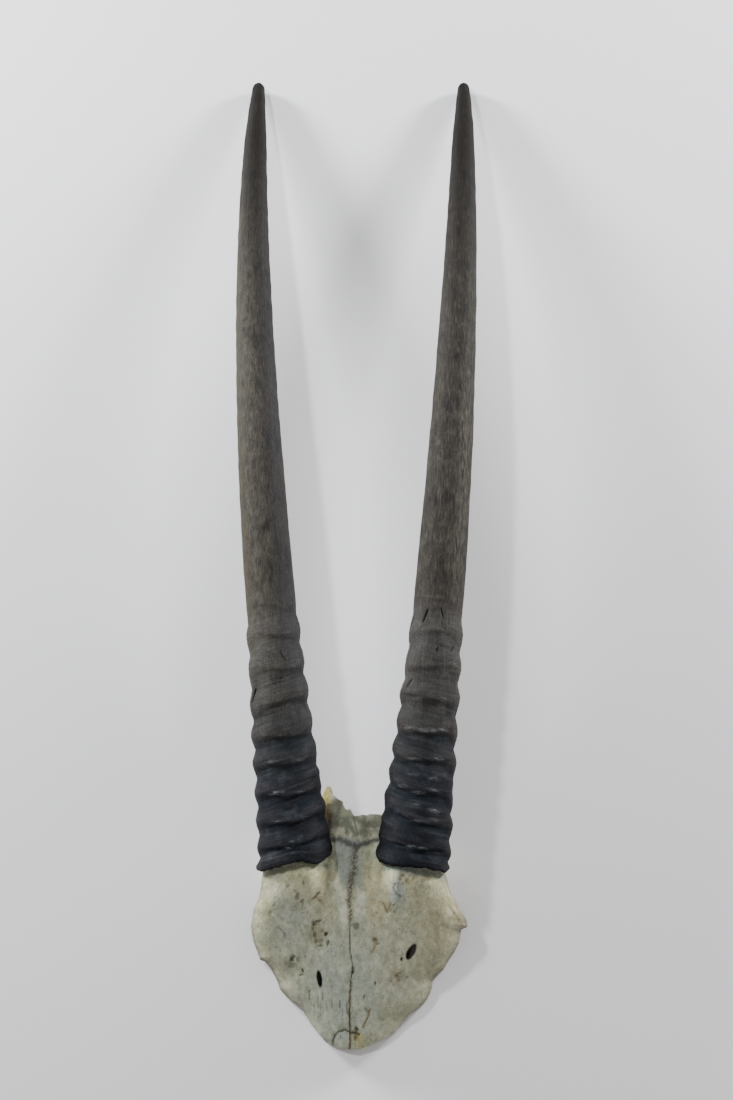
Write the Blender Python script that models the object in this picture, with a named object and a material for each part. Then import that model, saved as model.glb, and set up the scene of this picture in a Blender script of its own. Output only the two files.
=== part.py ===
"""A pair of gemsbok horns on their skull plate, lying face up on a flat surface.

Run with: blender --background --python part.py

Three pieces: the skull plate (one bone) and the two horn sheaths that sit over its pedicles. The plate is
drawn from the nose end, at y = 0 on the midline, back to the broken edge behind the horns. The horns run on
towards +Y and come down to the surface at their tips. Sizes are in millimetres and MM turns them into
Blender's metres.
"""

import math

import bmesh
import bpy
from mathutils import Vector

MM = 0.001
GAP = 0.35  # left between the bone and each sheath

# The horns: where the axis leaves the plate and where it ends, read from the side and from above
HORN_START_Y = 133.0
HORN_END_Y = 836.0
AXIS_HEIGHT_AT_BASE = 42.0
AXIS_HEIGHT_AT_TIP = 5.2
AXIS_RISE_AT_BASE = math.tan(math.radians(5.5))
HORN_LENGTH = HORN_END_Y - HORN_START_Y
HORN_SIDES = 20
HORN_RADII = (  # distance along the horn, radius midway between crest and groove
    (0, 27.4),
    (57, 24.0),
    (171, 20.2),
    (330, 17.6),
    (457, 15.0),
    (556, 12.3),
    (630, 9.9),
    (680, 6.9),
    (703, 4.9),
)
TIP_CAP_LENGTH = 5.0
SMOOTH_STATION_STEP = 34.0
SOCKET_RADIUS = 24.9
SOCKET_DEPTH = 12.0
CLEARANCE_RADIUS = 30.2  # outside every crest of the lowest rings
CLEARANCE_LENGTH = 90.0
RING_SLOPE = 0.7  # share of a ring's spacing taken by its long slope, before the ledge of the next ring
RING_SHARES = (0, 0.24, 0.48, 0.7, 0.86)
RINGS_FADE = 25.0
RING_MIDDLE = 1.1  # the radii are read midway between crest and groove

# The skull plate: half widths to the left and right of the midline at each distance from the nose end
PLATE_WIDTHS = (
    (-1.0, 7, 6),
    (3.0, 18, 18),
    (11.0, 27, 31),
    (21.0, 34.5, 39),
    (30.0, 42, 51),
    (39.0, 53, 57.5),
    (49.0, 58, 59.5),
    (60.0, 66.5, 70),
    (72.0, 74.5, 78),
    (86.0, 76.8, 80.5),
    (98.0, 74.5, 78),
    (110.0, 70, 72.5),
    (124.0, 68.5, 69),
    (136.0, 66, 66),
    (148.0, 50, 50),
    (160.0, 37, 37),
    (176.0, 35, 35),
    (200.0, 32, 32),
)
MIDLINE_HEIGHTS = (  # distance from the nose end, height of the bone over the surface
    (-1.0, 8.5),
    (30.0, 21.0),
    (60.0, 32.0),
    (90.0, 41.0),
    (112.0, 45.5),
    (130.0, 46.5),
    (143.0, 47.0),
    (152.0, 43.5),
    (165.0, 34.0),
    (180.0, 21.5),
    (200.0, 6.0),
)
PLATE_THICKNESSES = (  # the bone is thick under and between the horns and thin at its edges
    (-1.0, 6.5),
    (100.0, 6.5),
    (118.0, 8.5),
    (132.0, 16.0),
    (146.0, 20.0),
    (156.0, 14.0),
    (170.0, 7.5),
    (200.0, 7.0),
)
PLATE_COLUMNS = 24
PLATE_STEP = 7.6
RIM_SKIRT = 6.0  # the shell is drawn this far below the saw cut, then sawn off
SQUARENESS_AT_NOSE = 2.4
SQUARENESS_AT_HORNS = 4.6
SQUARENESS_AT_BACK = 1.5
SUTURE_DEPTH = 1.1
PEDICLE_SWELL = 0.37  # how much higher the bone is in front of a horn than on the midline
PEDICLE_SWELL_INSIDE = 14.0
PEDICLE_SWELL_FULL = 33.0
PEDICLE_REACH = 20.0
ORBIT_RADIUS = 25.0
ORBIT_CENTRE_Y = 84.3
ORBIT_DROP = 8.3
BROKEN_EDGE = (  # x and y of the broken rear edge, from left to right
    (-60, 178),
    (-26, 176),
    (-23.5, 181),
    (-20.0, 189.5),
    (-17.5, 185),
    (-12.5, 180.5),
    (-8.0, 177.5),
    (-9.5, 175),
    (-6.0, 171),
    (-2.2, 171),
    (0.6, 165.3),
    (6.5, 166.8),
    (12.2, 167.8),
    (21.0, 168.2),
    (60, 166),
)

# Each ring: how far along the horn its crest is on the outer side, the front and the inner side of the horn,
# and how high it stands there. A height of 0 is a side that the ring doesn't reach. The mouth has the same
# three places.
HORNS = {
    "left_horn": {
        "side": -1,
        "start_x": -42.6,
        "end_x": -88.5,
        "start_slope": -0.124,
        "end_slope": 0.02,
        "mouth": (-8.5, -7.9, 4.5),
        "rings": (
            (-6.5, -5.5, 6.0, 1.6, 1.0, 1.8),
            (8.6, 4.5, 16.0, 2.2, 2.2, 1.8),
            (29.8, 22.5, 38.0, 2.6, 2.4, 2.6),
            (50.8, 42.5, 53.5, 2.6, 2.2, 1.9),
            (62.0, 56.0, 65.0, 0.0, 0.9, 1.8),
            (72.2, 64.5, 80.5, 2.8, 2.4, 2.5),
            (92.1, 86.0, 101.0, 2.9, 2.4, 2.6),
            (113.1, 107.5, 125.0, 2.4, 2.0, 2.4),
            (141.0, 134.0, 147.5, 1.8, 1.3, 2.2),
            (169.0, 162.0, 171.5, 2.0, 1.3, 1.9),
            (194.0, 190.0, 193.0, 0.5, 0.6, 0.8),
        ),
    },
    "right_horn": {
        "side": 1,
        "start_x": 43.6,
        "end_x": 98.0,
        "start_slope": 0.125,
        "end_slope": 0.03,
        "mouth": (-8.8, -10.0, 1.5),
        "rings": (
            (-6.0, -8.5, 3.0, 1.7, 1.0, 1.7),
            (6.5, 4.0, 15.9, 2.2, 2.2, 1.9),
            (17.0, 14.5, 28.0, 0.4, 1.0, 1.9),
            (27.6, 23.0, 42.5, 2.2, 2.1, 2.3),
            (44.0, 34.5, 49.0, 2.0, 1.6, 0.0),
            (56.8, 46.0, 62.0, 2.2, 2.3, 2.5),
            (72.0, 65.5, 80.0, 2.6, 2.3, 2.6),
            (94.6, 87.5, 98.5, 2.8, 2.4, 2.7),
            (119.1, 112.0, 120.0, 2.2, 2.0, 2.2),
            (139.2, 136.0, 143.0, 2.2, 1.6, 1.8),
            (165.1, 163.0, 170.5, 2.2, 1.3, 1.7),
            (196.0, 192.0, 196.0, 0.4, 0.4, 0.5),
        ),
    },
}


def clear_scene():
    for existing in list(bpy.data.objects):
        bpy.data.objects.remove(existing, do_unlink=True)


def new_collection(name):
    collection = bpy.data.collections.new(name)
    bpy.context.scene.collection.children.link(collection)
    return collection


def smooth_share(value, low, high):
    """0 below low, 1 above high, eased between them."""
    share = min(1.0, max(0.0, (value - low) / (high - low)))
    return share * share * (3 - 2 * share)


def along(table, position, column=1):
    """Reads a table of (position, value, ...) rows with a smooth curve through its values."""
    rows = list(table)
    if position <= rows[0][0]:
        return rows[0][column]
    if position >= rows[-1][0]:
        return rows[-1][column]
    index = next(i for i in range(len(rows) - 1) if position <= rows[i + 1][0])

    def slope(i):
        low, high = max(i - 1, 0), min(i + 1, len(rows) - 1)
        return (rows[high][column] - rows[low][column]) / (rows[high][0] - rows[low][0])

    span = rows[index + 1][0] - rows[index][0]
    t = (position - rows[index][0]) / span
    start, end = rows[index][column], rows[index + 1][column]
    ease = t * t * (3 - 2 * t)
    bend = slope(index) * t * (1 - t) ** 2 - slope(index + 1) * t * t * (1 - t)
    return start + (end - start) * ease + span * bend


def principled(name, colour, roughness):
    material = bpy.data.materials.new(name)
    material.use_nodes = True
    shader = material.node_tree.nodes["Principled BSDF"]
    shader.inputs["Base Color"].default_value = (*colour, 1)
    shader.inputs["Roughness"].default_value = roughness
    shader.inputs["Metallic"].default_value = 0.0
    material.diffuse_color = (*colour, 1)
    return material


def object_from_bmesh(name, mesh_in_mm, collection, material=None):
    """Turns a bmesh drawn in millimetres into an object in metres."""
    bmesh.ops.scale(mesh_in_mm, vec=(MM, MM, MM), verts=mesh_in_mm.verts)
    bmesh.ops.recalc_face_normals(mesh_in_mm, faces=mesh_in_mm.faces)
    mesh = bpy.data.meshes.new(name)
    mesh_in_mm.to_mesh(mesh)
    mesh_in_mm.free()
    made = bpy.data.objects.new(name, mesh)
    collection.objects.link(made)
    if material:
        mesh.materials.append(material)
    return made


def loft(sections, closed):
    """A bmesh skin over sections with the same number of points. Closed sections are capped at both ends."""
    skin = bmesh.new()
    rows = [[skin.verts.new(point) for point in section] for section in sections]
    count = len(rows[0])
    for lower, upper in zip(rows, rows[1:]):
        for i in range(count if closed else count - 1):
            j = (i + 1) % count
            skin.faces.new((lower[i], lower[j], upper[j], upper[i]))
    if closed:
        skin.faces.new(list(reversed(rows[0])))
        skin.faces.new(rows[-1])
    return skin


def bake(made):
    """Applies an object's modifiers, so that it can be cut or can cut."""
    evaluated = made.evaluated_get(bpy.context.evaluated_depsgraph_get())
    mesh = bpy.data.meshes.new_from_object(evaluated)
    made.modifiers.clear()
    made.data = mesh


def boolean(target, tool, operation):
    modifier = target.modifiers.new(f"{operation.lower()}_{tool.name}", "BOOLEAN")
    modifier.object = tool
    modifier.operation = operation
    modifier.solver = "EXACT"


def as_cutter(made):
    made.hide_render = True
    made.display_type = "WIRE"
    return made


def horn_axis(horn, distance):
    """Centre of the horn at a distance along it, and the directions along, up and sideways there."""
    t = distance / HORN_LENGTH
    start_pull, end_pull = horn["start_slope"] * HORN_LENGTH, horn["end_slope"] * HORN_LENGTH
    ease = t * t * (3 - 2 * t)
    x = horn["start_x"] * (1 - ease) + horn["end_x"] * ease
    x += start_pull * t * (1 - t) ** 2 - end_pull * t * t * (1 - t)
    fall = (AXIS_HEIGHT_AT_BASE - AXIS_HEIGHT_AT_TIP + AXIS_RISE_AT_BASE * HORN_LENGTH) / HORN_LENGTH**2
    z = AXIS_HEIGHT_AT_BASE + AXIS_RISE_AT_BASE * distance - fall * distance**2
    slope_x = 6 * t * (1 - t) * (horn["end_x"] - horn["start_x"])
    slope_x += start_pull * (1 - t) * (1 - 3 * t) - end_pull * t * (2 - 3 * t)
    forward = Vector((slope_x / HORN_LENGTH, 1.0, AXIS_RISE_AT_BASE - 2 * fall * distance)).normalized()
    sideways = forward.cross(Vector((0, 0, 1))).normalized()
    return Vector((x, HORN_START_Y + distance, z)), forward, sideways.cross(forward), sideways


def round_the_horn(horn, sides, angle):
    """A value given for the outer side, the front and the inner side of a horn, at any angle round it."""
    outer, front, inner = sides
    middle = (outer + inner) / 2
    inward = -horn["side"] * math.sin(angle)
    return middle + (inner - outer) / 2 * inward + (front - middle) * math.cos(angle)


def ring_height(horn, sides, angle):
    """The height of a ring at an angle: the underside is like the mean of the two sides."""
    outer, front, inner = sides
    inward = -horn["side"] * math.sin(angle)
    beside = inner if inward > 0 else outer
    over = front if math.cos(angle) > 0 else (outer + inner) / 2
    return beside * inward**2 + over * (1 - inward**2)


def ring_rows(horn):
    """Rows of (places, ring below, ring above, share) from the mouth to the last ring, at the rings' lean."""
    levels = [(*horn["mouth"], 0.0, 0.0, 0.0), *horn["rings"]]
    rows = []
    for low, high in zip(levels, levels[1:]):
        shares = (0, 0.5) if low is levels[0] else RING_SHARES
        for share in shares:
            sides = tuple(low[i] + (high[i] - low[i]) * share for i in range(3))
            rows.append((sides, low[3:], high[3:], share))
    rows.append((levels[-1][:3], levels[-1][3:], levels[-1][3:], 0))
    return rows


def relief_at(horn, row, angle):
    """Height of the rings over the grooves: each swells slowly towards the mouth and ends in a ledge."""
    _, below, above, share = row
    if share < RING_SLOPE:
        return ring_height(horn, below, angle) * (0.5 + 0.5 * math.cos(math.pi * share / RING_SLOPE))
    step = (share - RING_SLOPE) / (1 - RING_SLOPE)
    return ring_height(horn, above, angle) * (0.5 - 0.5 * math.cos(math.pi * step))


def plain_stations(horn):
    """Distances above the rings that hold a section, up to the rounded tip, and then the tip's own."""
    last = max(horn["rings"][-1][:3])
    cap_start = HORN_LENGTH - TIP_CAP_LENGTH
    steps = round((cap_start - last) / SMOOTH_STATION_STEP)
    stations = [last + (cap_start - last) * i / steps for i in range(1, steps + 1)]
    return stations + [cap_start + TIP_CAP_LENGTH * share for share in (0.5, 0.85, 1.0)]


def horn_radius(distance, angle, relief):
    lumps = 1 + 0.18 * math.sin(2 * angle + 0.06 * distance)
    past_cap = max(0.0, distance - (HORN_LENGTH - TIP_CAP_LENGTH))
    narrowing = math.sqrt(max(0.12, 1 - (past_cap / TIP_CAP_LENGTH) ** 2 * 0.88))
    return along(HORN_RADII, distance) * narrowing + relief * lumps


def horn_section(horn, distance_at, radius_at):
    """One ring of points round the axis. Both functions take an angle from the horn's front."""
    points = []
    for i in range(HORN_SIDES):
        angle = 2 * math.pi * i / HORN_SIDES
        centre, _, up, sideways = horn_axis(horn, distance_at(angle))
        radius = radius_at(angle)
        points.append(centre + up * (radius * math.cos(angle)) + sideways * (radius * math.sin(angle)))
    return points


def mouth_section(horn, distance, radius):
    """A round section this far along from the sheath's mouth, leaning as the mouth does."""
    def distance_at(angle):
        return distance + round_the_horn(horn, horn["mouth"], angle)

    return horn_section(horn, distance_at, lambda _: radius)


def socket_sections(horn, grow):
    return [
        mouth_section(horn, SOCKET_DEPTH - grow, SOCKET_RADIUS - 1.0 - grow),
        mouth_section(horn, SOCKET_DEPTH - 2 - grow, SOCKET_RADIUS - grow),
        mouth_section(horn, -grow, SOCKET_RADIUS + 0.2 - grow),
    ]


def ringed_section(horn, row):
    def distance_at(angle):
        return round_the_horn(horn, row[0], angle)

    def radius_at(angle):
        return horn_radius(distance_at(angle), angle, relief_at(horn, row, angle) - RING_MIDDLE)

    return horn_section(horn, distance_at, radius_at)


def plain_section(horn, distance):
    """A section above the rings, where the last of the relief fades out."""
    fade = 1 - smooth_share(distance, max(horn["rings"][-1][:3]), max(horn["rings"][-1][:3]) + RINGS_FADE)
    return horn_section(
        horn, lambda _: distance, lambda angle: horn_radius(distance, angle, -RING_MIDDLE * fade)
    )


def horn_skin(horn):
    """The sheath as a closed skin, with a socket at its mouth."""
    outside = [ringed_section(horn, row) for row in ring_rows(horn)]
    outside += [plain_section(horn, distance) for distance in plain_stations(horn)]
    return loft(socket_sections(horn, 0.0) + outside, closed=True)


def clearance_skin(horn):
    """The room the foot of a sheath needs in the bone: its socket wall and a plain tube outside its rings."""
    outside = [
        mouth_section(horn, distance, CLEARANCE_RADIUS)
        for distance in (-GAP, CLEARANCE_LENGTH / 2, CLEARANCE_LENGTH)
    ]
    return loft(socket_sections(horn, GAP) + outside, closed=True)


def make_horn(name, horn, collection, material):
    made = object_from_bmesh(name, horn_skin(horn), collection, material)
    made.data.shade_smooth()
    made.data.set_sharp_from_angle(angle=math.radians(50))
    return made


def swell_over_pedicles(x, y):
    """How much higher than the plain dome the bone is, in front of the horns and under them."""
    across = smooth_share(abs(x), PEDICLE_SWELL_INSIDE, PEDICLE_SWELL_FULL)
    lengthwise = smooth_share(y, 66, 122) * (1 - smooth_share(y, 126, 142))
    return 1 + PEDICLE_SWELL * across * lengthwise


def low_forms(x, y):
    """Broad rises and hollows of the forehead: raised orbit rims and the groove inside each one."""
    rim = 3.0 * math.exp(-(((abs(x) - 64) / 11) ** 2) - ((y - ORBIT_CENTRE_Y) / 24) ** 2)
    groove = -2.2 * math.exp(-(((abs(x) - 34) / 10) ** 2) - ((y - 66) / 30) ** 2)
    ridge = 1.2 * math.exp(-((abs(x) / 9) ** 2)) * smooth_share(y, 40, 95) * (1 - smooth_share(y, 100, 128))
    return rim + groove + ridge


def plate_section(y):
    """The bone cut across at y: over the outside from left to right, and back along the inside."""
    crown = along(MIDLINE_HEIGHTS, y)
    thickness = along(PLATE_THICKNESSES, y)
    near_horns = smooth_share(y, 20, 122)
    squareness = SQUARENESS_AT_NOSE + (SQUARENESS_AT_HORNS - SQUARENESS_AT_NOSE) * near_horns
    squareness += (SQUARENESS_AT_BACK - squareness) * smooth_share(y, 132, 158)
    outside, inside = [], []
    for i in range(PLATE_COLUMNS + 1):
        angle = math.pi * (i / PLATE_COLUMNS - 0.5)
        half_width = along(PLATE_WIDTHS, y, 1 if angle < 0 else 2)
        reach = math.sin(angle)
        arch = max(0.0, 1 - abs(reach) ** squareness) ** (1 / squareness)
        x = half_width * reach
        z = crown * arch * swell_over_pedicles(x, y) + low_forms(x, y) * arch
        inner_x = max(half_width - thickness, half_width * 0.25) * reach
        inner_z = z * max(1 - thickness / crown, 0.25)
        if i == PLATE_COLUMNS // 2:
            z -= SUTURE_DEPTH
        if i in (0, PLATE_COLUMNS):
            z = inner_z = -RIM_SKIRT
        outside.append(Vector((x, y, z)))
        inside.append(Vector((inner_x, y, inner_z)))
    return outside + inside[::-1]


def make_plate_shell(collection, material):
    """The bone as one arched solid, before it is sawn and broken."""
    nose, back = PLATE_WIDTHS[0][0], PLATE_WIDTHS[-1][0]
    steps = round((back - nose) / PLATE_STEP)
    sections = [plate_section(nose + (back - nose) * i / steps) for i in range(steps + 1)]
    return object_from_bmesh("skull_plate", loft(sections, closed=True), collection, material)


def box_cutter(name, low, high, collection):
    block = bmesh.new()
    bmesh.ops.create_cube(block, size=1)
    size = Vector(high) - Vector(low)
    bmesh.ops.scale(block, vec=size, verts=block.verts)
    bmesh.ops.translate(block, vec=(Vector(high) + Vector(low)) / 2, verts=block.verts)
    return as_cutter(object_from_bmesh(name, block, collection))


def round_tool(name, centre, radii, depth, turn, sides, collection):
    """An oval rod used as a cutter or a join: turn rotates its own Z axis about X, Y and Z in degrees."""
    rod = bmesh.new()
    bmesh.ops.create_cone(rod, cap_ends=True, segments=sides, radius1=1, radius2=1, depth=depth)
    bmesh.ops.scale(rod, vec=(radii[0], radii[1], 1), verts=rod.verts)
    made = object_from_bmesh(name, rod, collection)
    made.location = Vector(centre) * MM
    made.rotation_euler = [math.radians(degrees) for degrees in turn]
    return as_cutter(made)


def pedicle_tool(name, horn, collection):
    """The stub of horn core: an oval swelling under the bone that runs on into the sheath's socket."""
    sections = []
    front = -18.0
    for i in range(9):
        distance = front + (PEDICLE_REACH - front) * i / 8
        share = min(1.0, (distance - front + 1.5) / -front)
        radius = (SOCKET_RADIUS + 0.4) * math.sqrt(1 - (1 - share) ** 2)
        sections.append(mouth_section(horn, distance, radius))
    return as_cutter(object_from_bmesh(name, loft(sections, closed=True), collection))


def broken_edge_tool(collection):
    """A tall block whose near side is the broken edge of the braincase."""
    outline = [Vector((x, y, -20)) for x, y in BROKEN_EDGE]
    outline += [Vector((60, 240, -20)), Vector((-60, 240, -20))]
    block = bmesh.new()
    face = block.faces.new([block.verts.new(point) for point in outline])
    raised = bmesh.ops.extrude_face_region(block, geom=[face])
    top = [item for item in raised["geom"] if isinstance(item, bmesh.types.BMVert)]
    bmesh.ops.translate(block, vec=(0, 0, 110), verts=top)
    return as_cutter(object_from_bmesh("broken_edge_cutter", block, collection))


def make_plate(collection, cutters, material):
    plate = make_plate_shell(collection, material)
    for name, horn in HORNS.items():
        boolean(plate, pedicle_tool(f"pedicle_{name}", horn, cutters), "UNION")
    spur = round_tool("orbit_spur", (77, 90, 9), (2.4, 5.0), 13, (0, 78, -14), 8, cutters)
    boolean(plate, spur, "UNION")
    boolean(plate, broken_edge_tool(cutters), "DIFFERENCE")
    for name, horn in HORNS.items():
        sheath = object_from_bmesh(f"clearance_{name}", clearance_skin(horn), cutters)
        boolean(plate, as_cutter(sheath), "DIFFERENCE")
    for side in (-1, 1):
        centre = (side * 78, ORBIT_CENTRE_Y, -ORBIT_DROP)
        orbit = round_tool(f"orbit_{side}", centre, (ORBIT_RADIUS, ORBIT_RADIUS), 58, (7, 90, 0), 18, cutters)
        boolean(plate, orbit, "DIFFERENCE")
    left_hole = round_tool("left_hole", (-25.2, 47.8, 30), (2.0, 5.0), 60, (0, 0, 6), 10, cutters)
    right_hole = round_tool("right_hole", (41.1, 65.7, 34), (2.7, 3.7), 60, (0, 0, -14), 10, cutters)
    boolean(plate, left_hole, "DIFFERENCE")
    boolean(plate, right_hole, "DIFFERENCE")
    notch = round_tool("nose_notch", (10.5, 1.0, 8), (2.6, 6.0), 40, (0, 0, -24), 6, cutters)
    boolean(plate, notch, "DIFFERENCE")
    below_cut = box_cutter("saw_cut", (-120, -40, -60), (120, 260, 0), cutters)
    boolean(plate, below_cut, "DIFFERENCE")
    return plate


def centre_over_origin(pieces):
    """Moves the whole object so that the middle of its outline is over the origin, standing on z = 0."""
    graph = bpy.context.evaluated_depsgraph_get()
    corners = []
    for piece in pieces:
        evaluated = piece.evaluated_get(graph)
        corners += [evaluated.matrix_world @ vertex.co for vertex in evaluated.data.vertices]
    low = Vector(min(corner[axis] for corner in corners) for axis in range(3))
    high = Vector(max(corner[axis] for corner in corners) for axis in range(3))
    shift = Vector((-(low.x + high.x) / 2, -(low.y + high.y) / 2, -low.z))
    carrier = bpy.data.objects.new("horns_frame", None)
    bpy.context.scene.collection.objects.link(carrier)
    for top in list(bpy.data.objects):
        if top is not carrier and top.parent is None:
            top.parent = carrier
    carrier.location = shift
    bpy.context.view_layer.update()


def main():
    clear_scene()
    collection = new_collection("gemsbok_horns")
    cutters = new_collection("cutters")
    bone = principled("weathered_bone", (0.50, 0.47, 0.38), 0.72)
    keratin = principled("dark_horn_keratin", (0.035, 0.034, 0.034), 0.5)
    pieces = [make_horn(name, horn, collection, keratin) for name, horn in HORNS.items()]
    plate = make_plate(collection, cutters, bone)
    bpy.context.view_layer.update()
    bake(plate)
    plate.data.shade_smooth()
    plate.data.set_sharp_from_angle(angle=math.radians(42))
    for tool in list(cutters.objects):
        tool.hide_viewport = True
    centre_over_origin(pieces + [plate])


main()
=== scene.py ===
"""A pair of gemsbok horns on their skull plate, lying face up on a pale studio floor.

The bone and the two sheaths are modelled again with a fine surface, each in place of its plain solid.
Shapes are drawn in millimetres from the nose end, as the solids are, and put_points moves them into the
frame.
"""

import math
from functools import partial

import bpy
import numpy as np
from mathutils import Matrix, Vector, noise


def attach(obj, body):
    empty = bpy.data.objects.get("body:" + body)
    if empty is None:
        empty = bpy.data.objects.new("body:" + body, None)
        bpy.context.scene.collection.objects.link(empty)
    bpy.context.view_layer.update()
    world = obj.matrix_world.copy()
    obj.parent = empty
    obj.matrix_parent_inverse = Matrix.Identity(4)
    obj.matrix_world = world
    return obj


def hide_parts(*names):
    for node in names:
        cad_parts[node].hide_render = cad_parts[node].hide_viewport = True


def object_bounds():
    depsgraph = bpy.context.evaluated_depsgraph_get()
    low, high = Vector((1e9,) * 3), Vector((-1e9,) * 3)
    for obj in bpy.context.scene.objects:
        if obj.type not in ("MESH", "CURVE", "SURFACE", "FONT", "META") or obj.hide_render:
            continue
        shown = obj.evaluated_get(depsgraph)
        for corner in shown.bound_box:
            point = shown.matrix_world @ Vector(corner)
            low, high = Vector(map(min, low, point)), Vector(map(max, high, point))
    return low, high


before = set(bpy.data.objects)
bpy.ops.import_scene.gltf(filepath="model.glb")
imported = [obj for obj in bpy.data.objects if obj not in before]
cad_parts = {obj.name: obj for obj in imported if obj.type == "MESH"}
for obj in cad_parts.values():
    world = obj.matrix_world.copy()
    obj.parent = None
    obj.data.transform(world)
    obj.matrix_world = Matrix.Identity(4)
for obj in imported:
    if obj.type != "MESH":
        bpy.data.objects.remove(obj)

CAD_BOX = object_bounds()
MM = 0.001

# Where the midline and the nose end of the drawing are in the frame
MIDLINE_X = -2.4
NOSE_Y = CAD_BOX[0][1] / MM + 1.0

# The camera of the photograph, over the nose end and tilted towards the tips
LENS = 50
FILM = 36
CAMERA_TILT = math.radians(19)
CAMERA_PLACE = (9.5, -19.6, 1184.7)

# The studio, in metres: where each light is and what it points at, its size, watts and colour
LIGHTS = {
    "flash": ((-0.72, 0.42, 1.25), (0, 0.05, 0), 0.14, 11.5, (0.92, 0.96, 1)),
    "softbox_left": ((-1.5, 1.1, 0.4), (0, 0.2, 0), 0.4, 92, (0.97, 0.98, 1)),
    "softbox_right": ((1.5, 1.1, 0.4), (0, 0.2, 0), 0.4, 78, (0.97, 0.98, 1)),
}
SURROUND_COLOUR = (1, 0.97, 0.94, 1)
SURROUND_STRENGTH = 0.45
FLOOR_SIZE = 12
FLOOR_GAP = 0.0005  # the floor lies this far under the plate, so that the two don't share a plane

# The horns' axes, as the solids have them
HORN_START_Y = 133.0
HORN_LENGTH = 703.0
AXIS_HEIGHT_AT_BASE = 42.0
AXIS_HEIGHT_AT_TIP = 5.2
AXIS_RISE_AT_BASE = math.tan(math.radians(5.5))
TIP_CAP_LENGTH = 6.0
HORN_RADII = (  # distance along the horn, radius midway between crest and groove
    (0, 27.4), (57, 24), (171, 20.2), (330, 17.6), (457, 15), (556, 12.3), (630, 9.9), (680, 6.9), (703, 4.9),
)

# Places round a horn, in degrees from its front towards its inner side
ROUND = (-90, -40, 0, 40, 90)

# Each ring: how far along the horn its crest is at the five places of ROUND, and how high it stands on the
# outer side, the front and the inner side. A small ring doesn't reach all round and sits between two others.
LEFT_HORN = {
    "side": -1,
    "across": (-42.6, -88.5, -0.124, 0.02),  # x of the axis at the base and at the tip, and its slopes there
    "lean": (-8.5, -7.9, 4.5),  # how far forward the rows are on the outer side, the front and the inner side
    "edge": (  # degrees round the horn, how far along it the lip's edge is
        (-180, 3), (-130, -1), (-90, -5), (-66, -7), (-40, -6.3), (-26, -6), (-7, -4), (10, -4),
        (20, -6.3), (36, -7), (49, -5), (73, -1), (90, 5), (130, 8), (180, 3),
    ),
    "rings": (
        ((-4, -1.5, 0.5, 2, 8), (4.2, 1.2, 1.6)),
        ((10.9, 8.8, 7, 12, 16.5), (1.9, 1.9, 1.6)),
        ((30, 27.5, 24.5, 29, 36.8), (2.3, 2, 2.2)),
        ((51, 48.5, 44, 46.3, 51), (2.3, 1.9, 1.6)),
        ((72.5, 69.5, 66, 70, 79.5), (2.5, 2, 2.2)),
        ((92.5, 89, 86, 89, 101), (2.6, 2, 2.4)),
        ((114.5, 112.5, 111.5, 116.8, 124), (2.2, 1.5, 2.2)),
        ((141.5, 141, 138, 139, 147), (1.7, 1, 2.1)),
        ((169.5, 167.5, 164.5, 164.5, 171.5), (1.9, 1.1, 1.8)),
        ((191, 190, 188, 186, 194), (0.4, 0.5, 0.6)),
    ),
    "small_rings": (
        ((62, 58, 55, 55.5, 62), (0, 0.4, 1.4)),
    ),
    "slits": (  # degrees round, distance along, length, width, depth, slant
        (-62, 121, 9, 1, 1.8, 0.5), (17, 146, 7, 0.5, 0.6, -0.5), (20, 131, 5, 0.6, 0.6, 2.5),
    ),
    # Painted highlights on the ring crests, which are glossier there too
    "gloss_and_highlights": (  # degrees round, distance along, degrees and millimetres that each reaches, strength
        (-27, 69, 9, 0.9, 0.35), (28, 68, 8, 0.8, 0.35), (-21, 46.3, 11, 1.1, 0.8),
        (22, 45, 12, 0.7, 0.3), (-27, 26, 9, 0.9, 0.5), (26, 27.5, 7, 0.8, 0.35), (-6, 6.5, 8, 0.8, 1),
        (-2, 10.5, 4, 0.9, 0.35), (-21, -0.5, 14, 3, 0.1), (-1, 57, 14, 2.8, 0.12),
    ),
    "chips": (  # degrees round, distance along, degrees and millimetres that each reaches, depth, colour
        (48, 699.5, 26, 1.7, 0.8, "6e7068"),
        (-70, 692, 22, 1.2, 0.4, "4f514b"),
    ),
    "seed": 3,
}
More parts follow.
